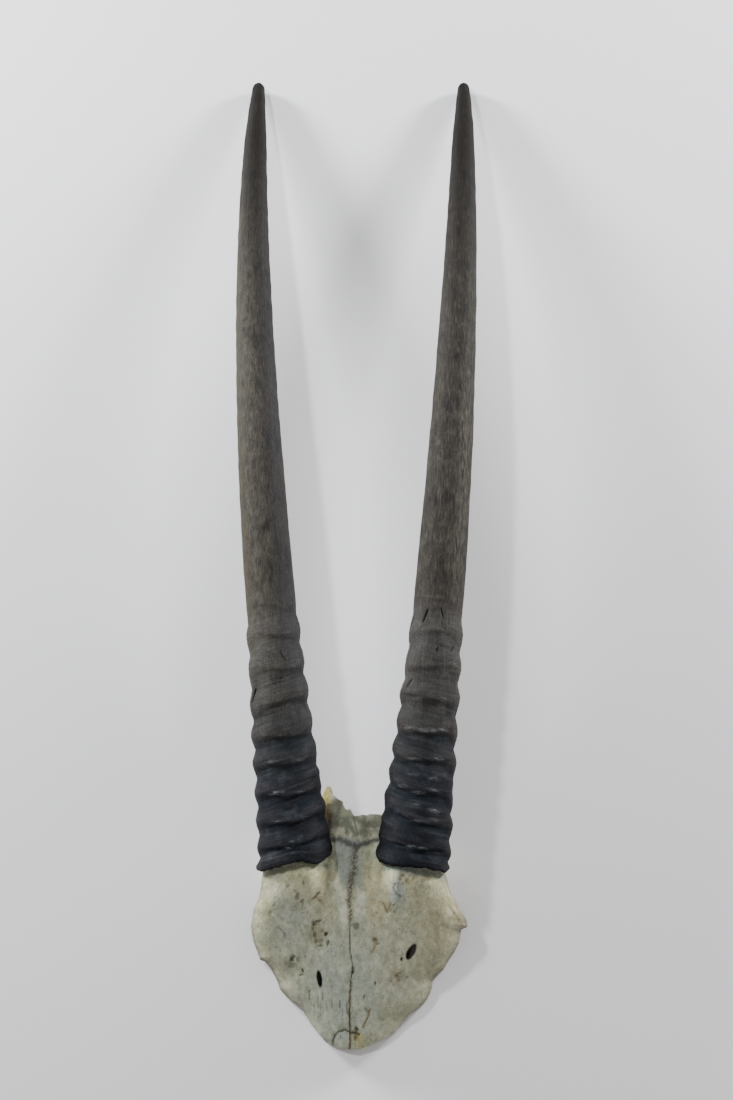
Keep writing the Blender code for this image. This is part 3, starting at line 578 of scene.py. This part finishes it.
def gloss_and_highlight_marks(horn, distance, degrees):
    """How much each point has a painted highlight and a gloss, on the crest of a ring."""
    gloss_and_highlight = np.zeros_like(distance)
    for middle, place, reach, thick, strength in horn["gloss_and_highlights"]:
        gloss_and_highlight = np.maximum(gloss_and_highlight, strength * hill(degrees, middle, reach) * hill(distance, place, thick))
    return gloss_and_highlight


def facing_up(degrees):
    """1 at the front of a horn, falling to 0 at its sides."""
    return np.clip(np.cos(np.radians(degrees)), 0, 1)


def paint_horn(horn, straight, degrees, distance, relief, lines, slits, growth):
    """The keratin's colour: browner on the crests, grey-brown above the rings, with painted blue-black shade
    in the grooves, a painted sheen on the front of the rings, painted highlights above the crests and painted
    side light and shade on the left horn.
    """
    left, seed = horn["side"] < 0, horn["seed"]
    patches = noise_at(straight, (11, 11, 20), seed + 5, 2)
    streaks = noise_at(straight, (1.3, 1.3, 8), seed + 6, 2)
    smudges_and_sheen = noise_at(straight, (6, 6, 7), seed + 10, 2)
    specks = noise_at(straight, (1.5, 1.5, 1.2), seed + 8, 2)
    crest = np.clip(relief / 1.8, 0, 1)
    # Ringed part: a painted sheen on the fronts (2f343a), painted shade in the grooves (0d151c), browner
    # crests and growth lines
    low = laid_over(
        np.array(linear("1a1b1f")),
        ("2f343a", 0.6 * eased(smudges_and_sheen, 0, 0.7) * facing_up(degrees)),
        ("42413e", 0.75 * eased(distance, 45, 140)),
        ("0d151c", 0.85 * (1 - crest) * eased(patches, -0.6, 0.5)),
        ("2c2725", 0.6 * crest**2 * eased(patches + 0.4 * specks, -0.4, 0.6)),
        ("0b0b0d", 0.6 * eased(-growth, 0.1, 0.7)),
        ("363639", 0.35 * eased(growth + 0.3 * specks, 0.15, 0.8)),
    )
    layers = [
        ("211f1e", 0.8 * eased(patches, -0.1, 0.9)),
        ("413e38", 0.6 * eased(smudges_and_sheen, 0, 0.8)),
        ("4c4841", 0.5 * eased(streaks, 0.1, 0.9)),
        ("181615", 0.6 * eased(-streaks, 0.15, 0.9)),
        ("151311", 0.85 * eased(distance, 380, 640)),
        ("4b4a49", 0.35 * hill(distance, 160, 30)),
    ]
    # On the left horn: painted warm light on the outer side (band), a painted light strip down the front
    # (lit) and painted shade on the inner side
    if left:
        band = eased(-degrees, 30, 62) * eased(distance, 90, 200) * (1 - eased(distance, 520, 640))
        lit = hill(degrees, -22, 26) * (1 - eased(distance, 380, 560))
        layers += [
            ("3d3a2e", 0.7 * band * eased(patches + 0.5, 0, 0.8)),
            ("49463e", 0.45 * lit * eased(smudges_and_sheen + 0.4, 0, 0.8)),
            ("1f1f23", 0.55 * eased(degrees, 0, 35) * (1 - eased(distance, 430, 600))),
        ]
    else:
        band = hill(degrees, -38, 20) * eased(distance, 175, 220) * (1 - eased(distance, 330, 420))
        layers.append(("504b43", 0.55 * band * eased(streaks + 0.4, 0, 0.9)))
    high = laid_over(np.array(linear("37342f" if left else "2f2c28")), *layers)
    rise = eased(distance + 14 * patches + 8 * streaks, 50, 190)
    colours = low * (1 - rise)[:, None] + high * rise[:, None]
    # Painted highlights just above the crests of the upper rings, on their fronts
    for line in lines[5:]:
        light = hill(distance, line + 1.0, 1.0) * eased(noise_at(straight, (5, 5, 9), seed + 7), -0.25, 0.4)
        colours = laid_over(colours, ("4c4842", 0.45 * light * facing_up(degrees)))
    for chip in horn["chips"]:
        colours = laid_over(colours, (chip[5], chip_share(chip, distance, degrees)))
    return laid_over(colours, ("080807", slits / 0.7))


def make_horn(name, horn):
    """One sheath: a rolled sheet with its socket, its lip, its rings and its tip."""
    rows = horn_rows()
    sheath, column, row = add_sheet(name + "_sheath", HORN_COLUMNS, len(rows) - 1)
    station, socket_radius = rows[row, 0], rows[row, 1]
    degrees = -180 + 360 * column / HORN_COLUMNS
    inward, upward = np.sin(np.radians(degrees)), np.cos(np.radians(degrees))
    sideward = -horn["side"] * inward
    seed = horn["seed"]

    # The rows lean as the rings do, and the first ones follow the lip's edge
    outer, front, inner = horn["lean"]
    middle = (outer + inner) / 2
    lean = middle + (inner - outer) / 2 * inward + (front - middle) * upward
    edge = between(horn["edge"], degrees)
    distance = station + lean * between([(0, 1.0), (60, 0.8), (180, 0.5), (420, 0.0)], station)
    distance += (edge - lean) * (1 - eased(station, 0, 24))
    straight = np.column_stack((MEAN_RADIUS * inward, MEAN_RADIUS * upward, distance))
    frayed = 0.9 * noise_at(straight, (6, 6, 1000), seed + 3)
    frayed += 0.6 * noise_at(straight, (2.2, 2.2, 1000), seed + 4)
    distance += frayed * (1 - eased(station, 0, 9))

    lumps = noise_at(straight, (24, 24, 13), seed)
    wander = 1.5 * noise_at(straight, (13, 13, 45), seed + 0.4)
    relief, lines = ring_relief(horn, distance + wander, degrees, inward, upward)
    ringed = 1 - eased(distance, 150, 225)
    radius = along(HORN_RADII, distance) - 1.1 * (1 - eased(distance, 185, 225))
    radius += relief * (1 + 0.3 * lumps)

    # Growth lines run round with the rings, and fibres run along above them
    level = np.column_stack((MEAN_RADIUS * inward, MEAN_RADIUS * upward, station))
    growth = noise_at(level, (22, 22, 2.2), seed + 1) + 0.5 * noise_at(level, (9, 9, 0.9), seed + 9)
    fibres = noise_at(straight, (1.6, 1.6, 50), seed + 2)
    slits = slit_depths(horn, distance, degrees)
    radius = radius + 0.22 * growth * ringed + 0.14 * fibres * eased(distance, 70, 200) - slits
    radius += 0.4 * lumps * eased(distance, 190, 260)
    radius -= 0.8 * (1 - eased(station, 0, 1.4))
    for chip in horn["chips"]:
        radius -= chip[4] * chip_share(chip, distance, degrees)
    past_cap = np.clip((station - (HORN_LENGTH - TIP_CAP_LENGTH)) / TIP_CAP_LENGTH, 0, 1)
    radius *= np.sqrt(np.clip(1 - past_cap**2, 0.0001, 1))
    radius = np.where(socket_radius > 0, socket_radius, radius)

    centre, up, sideways = horn_axis(horn, distance)
    put_points(sheath, centre + up * (radius * upward)[:, None] + sideways * (radius * sideward)[:, None])
    store(sheath, "straight", straight, "FLOAT_VECTOR")
    store(sheath, "ringed", ringed)
    store(sheath, "gloss_and_highlight", gloss_and_highlight_marks(horn, distance, degrees))
    paint = paint_horn(horn, straight, degrees, distance, relief, lines, slits, growth)
    store(sheath, "paint", paint, "FLOAT_COLOR")
    close_up(sheath)
    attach(sheath, "root")
    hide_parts(name)
    return sheath


# The skull plate


def dome_width(y, right):
    """Half width of the smooth dome, on the right or the left of the midline."""
    return np.where(right, along(DOME_WIDTHS, y, 2), along(DOME_WIDTHS, y))


def edge_width(y, right):
    """Half width of the plate's own ragged outline."""
    return np.where(right, between(EDGE_RIGHT, y), between(EDGE_LEFT, y))


def orbit_edge(y):
    """Height of the orbits' round edge, which is under the saw cut before and behind them."""
    return ORBIT_CENTRE[1] + np.sqrt(np.clip(ORBIT_RADIUS**2 - (y - ORBIT_CENTRE[0]) ** 2, 0, None))


def squareness(y):
    """How boxy the plate's arch is: 2 is an ellipse, and more is squarer."""
    square = 2.4 + 2.2 * eased(y, 20, 122)
    return square + (1.5 - square) * eased(y, 132, 158)


def low_forms(x, y):
    """Broad forms of the forehead: orbit rims, grooves inside them, a ridge, and valleys at the horns."""
    rim = 3.0 * hill(abs(x), 64, 11) * hill(y, ORBIT_CENTRE[0], 24)
    groove = -2.2 * hill(abs(x), 34, 10) * hill(y, 66, 30)
    ridge = 1.2 * hill(x, 0, 9) * eased(y, 40, 95) * (1 - eased(y, 100, 128))
    valley = -3.2 * hill(abs(x), 13.5, 5.0) * eased(y, 104, 128) * (1 - eased(y, 146, 160))
    return rim + groove + ridge + valley


def crown_over(x, y):
    """Height of the dome over the surface above x, y, before its arch falls to the sides."""
    across = eased(abs(x), 14, 33)
    swell = 1 + 0.37 * across * eased(y, 66, 122) * (1 - eased(y, 126, 142))
    return along(MIDLINE_HEIGHTS, y) * swell + low_forms(x, y)


def shape_plate(column, row, last_row):
    """Where each point of the closed sheet goes: over the outside, and back along the inside."""
    loop = column % (2 * PLATE_COLUMNS + 2)
    outside = loop <= PLATE_COLUMNS
    step = np.where(outside, loop, 2 * PLATE_COLUMNS + 1 - loop)
    across = 2 * step / PLATE_COLUMNS - 1
    right = across > 0
    top_reach = 1 - 2 * WALL_COLUMNS / PLATE_COLUMNS
    wall = np.clip((abs(across) - top_reach) / (1 - top_reach), 0, 1)
    level = np.clip(row - 1, 0, last_row - 2)
    nominal = PLATE_STEP * level - 1.0

    # Behind the horns the rows end at the broken edge
    whole_rows = (BREAK_START_Y + 1.0) / PLATE_STEP
    past = np.clip((level - whole_rows) / (last_row - 2 - whole_rows), 0, 1)
    y = np.minimum(nominal, BREAK_START_Y)
    for _ in range(2):
        x = dome_width(y, right) * np.clip(across / top_reach, -1, 1) * TOP_SHARE
        edge_y = between(BROKEN_EDGE, x)
        y = np.where(past > 0, BREAK_START_Y + (edge_y - BREAK_START_Y) * past, y)

    square = squareness(y)
    low_z = np.clip(orbit_edge(y), 0, None)
    share = np.clip(abs(across) / top_reach, 0, 1) * TOP_SHARE
    arch = (1 - share**square) ** (1 / square)
    dome = dome_width(y, right)
    end_arch = low_z / crown_over(dome, y)
    arch = arch + (end_arch - arch) * wall
    share = np.clip(1 - arch**square, 0, 1) ** (1 / square)
    width = dome + (edge_width(y, right) - dome) * eased(share, 0.72, 0.985)
    x = np.sign(across) * width * share
    z = crown_over(x, y) * arch

    thickness = along(PLATE_THICKNESSES, y)
    crown = along(MIDLINE_HEIGHTS, y)
    inner_x = x * np.maximum(1 - thickness / np.maximum(width, 1), 0.25)
    inner_z = np.maximum(z * np.maximum(1 - thickness / crown, 0.25), low_z * (wall > 0))
    inner_z = inner_z - 11.0 * hill(abs(x), 44, 20) * hill(y, 138, 11) * (1 - wall)
    inner_z = np.clip(inner_z, 3.0, None) * (wall == 0) + inner_z * (wall > 0)
    outer_place = np.column_stack((x, y, z))
    inner_place = np.column_stack((inner_x, y, inner_z))
    end = ((row == 0) | (row == last_row))[:, None]
    middle_place = (outer_place + inner_place) / 2
    places = np.where(end, middle_place, np.where(outside[:, None], outer_place, inner_place))
    return places, outside.astype(float)


def add_cutter(name, outline, low, high):
    """A closed prism over an outline of (x, y) points, to cut the bone with."""
    mesh = bpy.data.meshes.new(name)
    count = len(outline)
    points = [in_frame(x, y, low) for x, y in outline] + [in_frame(x, y, high) for x, y in outline]
    sides = [(i, (i + 1) % count, count + (i + 1) % count, count + i) for i in range(count)]
    mesh.from_pydata(points, [], [tuple(range(count))[::-1], tuple(range(count, 2 * count)), *sides])
    return show(bpy.data.objects.new(name, mesh))


def add_rod(name, x, y, z, half_width, half_length, turn, lean):
    deselect()
    bpy.ops.mesh.primitive_cylinder_add(vertices=40, radius=1, depth=0.06)
    rod = bpy.context.object
    rod.name = name
    rod.location = in_frame(x, y, z)
    rod.scale = (half_width * MM, half_length * MM, 1)
    rod.rotation_euler = (0, math.radians(lean), math.radians(turn))
    return rod


def cut_away(piece, cutter):
    make_active(piece)
    cut = piece.modifiers.new("cut", "BOOLEAN")
    cut.operation = "DIFFERENCE"
    cut.solver = "EXACT"
    cut.object = cutter
    bpy.ops.object.modifier_apply(modifier=cut.name)
    bpy.data.objects.remove(cutter)


def off_line(x, y, points):
    """Distance of each x, y from a line drawn through the points."""
    nearest = np.full_like(x, 1e6)
    for (ax, ay), (bx, by) in zip(points, points[1:]):
        length = (bx - ax) ** 2 + (by - ay) ** 2
        share = np.clip(((x - ax) * (bx - ax) + (y - ay) * (by - ay)) / length, 0, 1)
        nearest = np.minimum(nearest, np.hypot(x - ax - share * (bx - ax), y - ay - share * (by - ay)))
    return nearest


def in_foramen(x, y, z, hole):
    """1 in and beside a hole of the forehead, 0 away from it."""
    at_x, at_y, at_z, half_width, half_length, turn, lean = hole
    turn, lean = math.radians(turn), math.radians(lean)
    over_x, over_y = x - at_x, y - at_y
    across = over_x * math.cos(turn) + over_y * math.sin(turn) - (z - at_z) * math.tan(lean)
    lengthways = over_y * math.cos(turn) - over_x * math.sin(turn)
    near = np.hypot(across * math.cos(lean) / half_width, lengthways / half_length)
    return 1 - eased(near, 1.08, 1.32)


def suture_zigzag(x, y):
    """How much each point is in the stippled brown suture up the middle of the forehead."""
    middle, reach = between(MEDIAN_PATH, y, 1), between(MEDIAN_PATH, y, 2)
    grain = plan_noise(x, y, 1.3, 21, 2)
    inside = hill(x, middle + 0.4 * reach * grain, 0.7 + 1.0 * reach)
    return inside * eased(grain, -0.6, 0.06) * eased(y, 78, 90) * (1 - eased(y, 139, 144))


def zone_colours(x, y, jitter):
    """The bone's colour without its marks: broad zones, one of them painted light, blotches, and the grey
    stain between the horns, which is partly painted shade.
    """
    colours = np.array(linear(BONE_COLOUR))
    warp_x, warp_y = x + 3.5 * jitter[0], y + 3.5 * jitter[1]
    for at_x, at_y, reach_x, reach_y, colour, strength in BONE_ZONES:
        near = np.hypot((warp_x - at_x) / reach_x, (warp_y - at_y) / reach_y)
        colours = laid_over(colours, (colour, strength * (1 - eased(near, 0.35, 1.25))))
    for reach, seed, patches in BONE_BLOTCHES:
        blotches = plan_noise(x, y, (reach, 1.4 * reach, 1), seed, 2)
        for sign, colour, strength in patches:
            colours = laid_over(colours, (colour, strength * eased(sign * blotches, 0.12, 0.65)))
    # The grey stain between the horns, partly painted shade of the left horn
    stain_and_shade = eased(x - between(STAIN_AND_SHADE_EDGE, y) + jitter[2], -1, 3.5) * (1 - eased(x, 1, 11))
    stain_and_shade = stain_and_shade * eased(y + jitter[1] * 2, 107, 114) * (1 - eased(y, 143, 150))
    dirt = eased(jitter[4] + 0.4 * jitter[2], 0.35, 0.8)
    return laid_over(colours, ("7b7e78", 0.85 * stain_and_shade), ("6f6851", 0.35 * dirt)) * BONE_LIGHTNESS


def mark_bone(x, y, jitter):
    """Depth and colour of the plate's lines, pits and sutures at each point of its outside."""
    depth, colours = np.zeros_like(x), zone_colours(x, y, jitter)
    fine_x, fine_y = x + 0.8 * jitter[2], y + 0.8 * jitter[3]
    for points, width, deep, colour, strength in BONE_LINES:
        wander = 0.25 + 0.4 * width
        near = hill(off_line(x + wander * jitter[2], y + wander * jitter[3], points), 0, width)
        near *= 1 - 0.5 * abs(jitter[4])
        depth = np.maximum(depth, deep * near)
        colours = laid_over(colours, (colour, strength * np.clip(near * 1.3, 0, 1)))
    for at_x, at_y, reach_x, reach_y, deep, colour, strength in BONE_PITS:
        near = np.hypot((fine_x - at_x) / reach_x, (fine_y - at_y) / reach_y)
        near = 1 - eased(near + 0.5 * jitter[4] + 0.25 * jitter[3], 0.4, 1.3)
        depth = np.maximum(depth, deep * near)
        colours = laid_over(colours, (colour, strength * near))
    zigzag = suture_zigzag(x, y)
    depth = np.maximum(depth, 0.5 * zigzag)
    spot_x, spot_y, spot_radius = ROUND_SPOT
    spot = 1 - eased(np.hypot(x - spot_x, y - spot_y), spot_radius - 0.6, spot_radius + 0.3)
    return depth, laid_over(colours, ("4b3e2c", 0.92 * zigzag), ("75766b", 0.95 * spot))


def paint_edges(colours, x, y, z, outside, jitter):
    """Worn edges are brown or grey, and the inside is darker and browner than the forehead."""
    to_edge = edge_width(y, x > 0) - abs(x)
    before_horns = 1 - eased(y, 118, 128)
    rim = (1 - eased(to_edge + 1.5 * jitter[2], 0.4, 4.5)) * eased(y, 10, 40) * before_horns
    border = (1 - eased(to_edge, 2, 15)) * eased(y, 30, 60) * before_horns
    sawn = between([(0, 1), (6, 0)], z) * outside
    near_orbit = (1 - eased(abs(z - orbit_edge(y)), 0.5, 3.5)) * (abs(x) > 60)
    near_orbit = near_orbit * (abs(y - ORBIT_CENTRE[0]) < ORBIT_RADIUS) * outside
    sawn *= eased(jitter[2], -0.5, 0.4)
    browner = (
        ("8f8868", 0.45 * border),
        ("645b46", 0.8 * rim),
        ("6d5a3c", 0.55 * sawn),
        ("6b5432", 0.7 * near_orbit),
    )
    colours = laid_over(colours, *browner)
    inside_colours = laid_over(np.array(linear("a89b7c")), ("7a6a4e", eased(jitter[0], -0.4, 0.6)))
    return colours * outside[:, None] + inside_colours * (1 - outside)[:, None]


def make_plate():
    """The bone: a closed sheet, cut at its notch and holes and then given its fine relief and its colours."""
    rows = round((BREAK_START_Y + 1 + BROKEN_LENGTH) / PLATE_STEP) + 2
    plate, column, row = add_sheet("bone_plate", 2 * PLATE_COLUMNS + 2, rows)
    places, outside = shape_plate(column, row, rows)
    put_points(plate, places)
    store(plate, "outside", outside)
    close_up(plate, 0.00001)
    cut_away(plate, add_cutter("nose_notch", NOSE_NOTCH, -10, 40))
    for number, hole in enumerate(FORAMINA):
        cut_away(plate, add_rod(f"foramen_{number}", *hole))

    # The fine relief and the colours go by where each point is on the plate
    places = points_of(plate)
    x, y, z = places.T
    outside = stored(plate, "outside")
    holes = sum(in_foramen(x, y, z, hole) for hole in FORAMINA)
    jitter = [plan_noise(x, y, *wave) for wave in JITTER]
    depth, colours = mark_bone(x, y, jitter)
    rough = 0.5 * noise_at(places, 22, 41) + 0.16 * noise_at(places, 6, 42) + 0.07 * noise_at(places, 1.8, 43)
    above = eased(z, 2.0, 6.0)
    places[:, 2] += (rough - depth) * above * outside
    places[:, 2] += 1.2 * noise_at(places, 11, 44, 2) * eased(z, 4, 12) * (1 - outside)
    put_points(plate, places)

    colours = paint_edges(colours, x, y, z, outside, jitter)
    # Painted shade on the walls of the two holes, which are bone inside
    store(plate, "paint", laid_over(colours, ("100e0b", 0.95 * holes)), "FLOAT_COLOR")
    make_active(plate)
    bpy.ops.object.shade_smooth_by_angle(angle=math.radians(50))
    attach(plate, "root")
    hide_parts("skull_plate")
    return plate


# The materials


def set_inputs(material, node, inputs):
    """Sets or links a node's inputs, given by name or number, or as values in the node's own order."""
    for key, value in inputs.items() if isinstance(inputs, dict) else enumerate(inputs):
        if isinstance(value, bpy.types.NodeSocket):
            material.node_tree.links.new(value, node.inputs[key])
        else:
            node.inputs[key].default_value = value


def add_node(material, kind, inputs=(), output=0, **settings):
    """Adds a shader node with its settings and inputs, and gives the output that is used."""
    node = material.node_tree.nodes.new("ShaderNode" + kind)
    for key, value in settings.items():
        setattr(node, key, value)
    set_inputs(material, node, inputs)
    return node.outputs[output]


def new_material(name):
    material = bpy.data.materials.new(name)
    material.use_nodes = True
    return material, material.node_tree.nodes["Principled BSDF"]


def waves(add, vector, per_wave, detail):
    """Noise whose waves have these lengths along the three axes of the vector."""
    scaled = add("Mapping", {"Vector": vector, "Scale": [1 / size for size in per_wave]})
    return add("TexNoise", {"Vector": scaled, "Scale": 1.0, "Detail": detail, "Roughness": 0.6}, "Fac")


def tinted(add, colour, factor):
    """A colour made darker or lighter by a factor around 1."""
    grey = add("CombineColor", (factor, factor, factor))
    settings = {"data_type": "RGBA", "blend_type": "MULTIPLY", "clamp_result": False}
    return add("Mix", {0: 1.0, 6: colour, 7: grey}, 2, **settings)


def keratin_material():
    """Horn keratin, grown in fibres and rings and weathered: dull, with a gloss and painted highlights on the
    rubbed crests.
    """
    material, shader = new_material("horn_keratin")
    add = partial(add_node, material)
    kept = (("paint", "Color"), ("straight", "Vector"), ("ringed", "Fac"), ("gloss_and_highlight", "Fac"))
    paint, place, ringed, gloss_and_highlight = [add("Attribute", (), output, attribute_name=name) for name, output in kept]
    fibres = waves(add, place, (0.9, 0.9, 6), 4)
    hairs = waves(add, place, (0.45, 0.45, 2), 3)
    grains = waves(add, place, (1.1, 1.1, 0.8), 4)
    both = add("Math", (fibres, hairs), operation="ADD")
    cracks = add("MapRange", (waves(add, place, (0.8, 0.8, 3), 2), 0.3, 0.38, 0.5, 1))
    streaks = add("MapRange", (both, 0.75, 1.25, 0.58, 1.55))
    streaky = add("Math", (streaks, cracks), operation="MULTIPLY")
    even = add("MapRange", (grains, 0.3, 0.7, 0.6, 1.45))
    tone = add("Mix", {"Factor": ringed, "A": streaky, "B": even}, data_type="FLOAT")
    height = add("Mix", {"Factor": ringed, "A": both, "B": grains}, data_type="FLOAT")
    flecks = add("MapRange", (waves(add, place, (3.2, 3.2, 0.7), 3), 0.4, 0.62, 0, 1))
    amount = add("Math", (gloss_and_highlight, flecks), operation="MULTIPLY")
    # The base colour turns light grey where the painted highlights are, which are also glossier
    painted_highlight_mix = {0: amount, 6: tinted(add, paint, tone), 7: linear("6c7073")}
    looks = {
        "Base Color": add("Mix", painted_highlight_mix, 2, data_type="RGBA"),
        "Roughness": add("MapRange", (amount, 0, 0.8, 0.62, 0.35)),
        "Specular IOR Level": add("MapRange", (amount, 0, 0.8, 0.05, 0.4)),
        "Normal": add("Bump", {"Height": height, "Strength": 0.6, "Distance": 0.0005}),
    }
    set_inputs(material, shader, looks)
    return material


def bone_material():
    """Dry weathered bone, boiled clean and aged: matt and chalky, finely pored, stained along its sutures."""
    material, shader = new_material("weathered_bone")
    add = partial(add_node, material)
    paint = add("Attribute", (), "Color", attribute_name="paint")
    metres = add("TexCoord", (), "Object")
    place = add("VectorMath", {0: metres, "Scale": 1000}, operation="SCALE")
    mottle = waves(add, place, (3.2, 4.2, 3.2), 5)
    grain = waves(add, place, (0.6, 1.3, 0.6), 4)
    both = add("Math", (mottle, grain), operation="ADD")
    pores = add("MapRange", (waves(add, place, (1.5, 2.2, 1.5), 2), 0.3, 0.38, 0.55, 1))
    mottled = add("MapRange", (both, 0.7, 1.3, 0.66, 1.27))
    tone = add("Math", (mottled, pores), operation="MULTIPLY")
    looks = {
        "Base Color": tinted(add, paint, tone),
        "Roughness": 0.68,
        "Normal": add("Bump", {"Height": both, "Strength": 0.7, "Distance": 0.0007}),
    }
    set_inputs(material, shader, looks)
    return material


# The studio


def add_camera():
    camera = bpy.data.cameras.new("camera")
    camera.lens = LENS
    camera.sensor_width = FILM
    camera.clip_start = 0.01
    stand = show(bpy.data.objects.new("camera", camera))
    stand.location = in_frame(*CAMERA_PLACE)
    stand.rotation_euler = (CAMERA_TILT, 0, 0)
    bpy.context.scene.camera = stand


def add_floor():
    deselect()
    bpy.ops.mesh.primitive_plane_add(size=FLOOR_SIZE, location=(0, 0, -FLOOR_GAP))
    floor = bpy.context.object
    floor.name = "floor"
    material, shader = new_material("white_paper")
    set_inputs(material, shader, {"Base Color": linear("f3f3f5"), "Roughness": 0.9})
    floor.data.materials.append(material)


def add_light(name, place, target, size, power, colour):
    light = bpy.data.lights.new(name, "AREA")
    light.shape = "DISK"
    light.size = size
    light.energy = power
    light.color = colour
    lamp = show(bpy.data.objects.new(name, light))
    lamp.location = place
    lamp.rotation_euler = (Vector(target) - Vector(place)).to_track_quat("-Z", "Y").to_euler()


def light_studio():
    for name, settings in LIGHTS.items():
        add_light(name, *settings)
    world = bpy.data.worlds.new("studio")
    world.use_nodes = True
    background = world.node_tree.nodes["Background"].inputs
    background["Color"].default_value = SURROUND_COLOUR
    background["Strength"].default_value = SURROUND_STRENGTH
    bpy.context.scene.world = world


def main():
    add_camera()
    keratin = keratin_material()
    for name, horn in HORNS.items():
        make_horn(name, horn).data.materials.append(keratin)
    make_plate().data.materials.append(bone_material())
    add_floor()
    light_studio()


main()
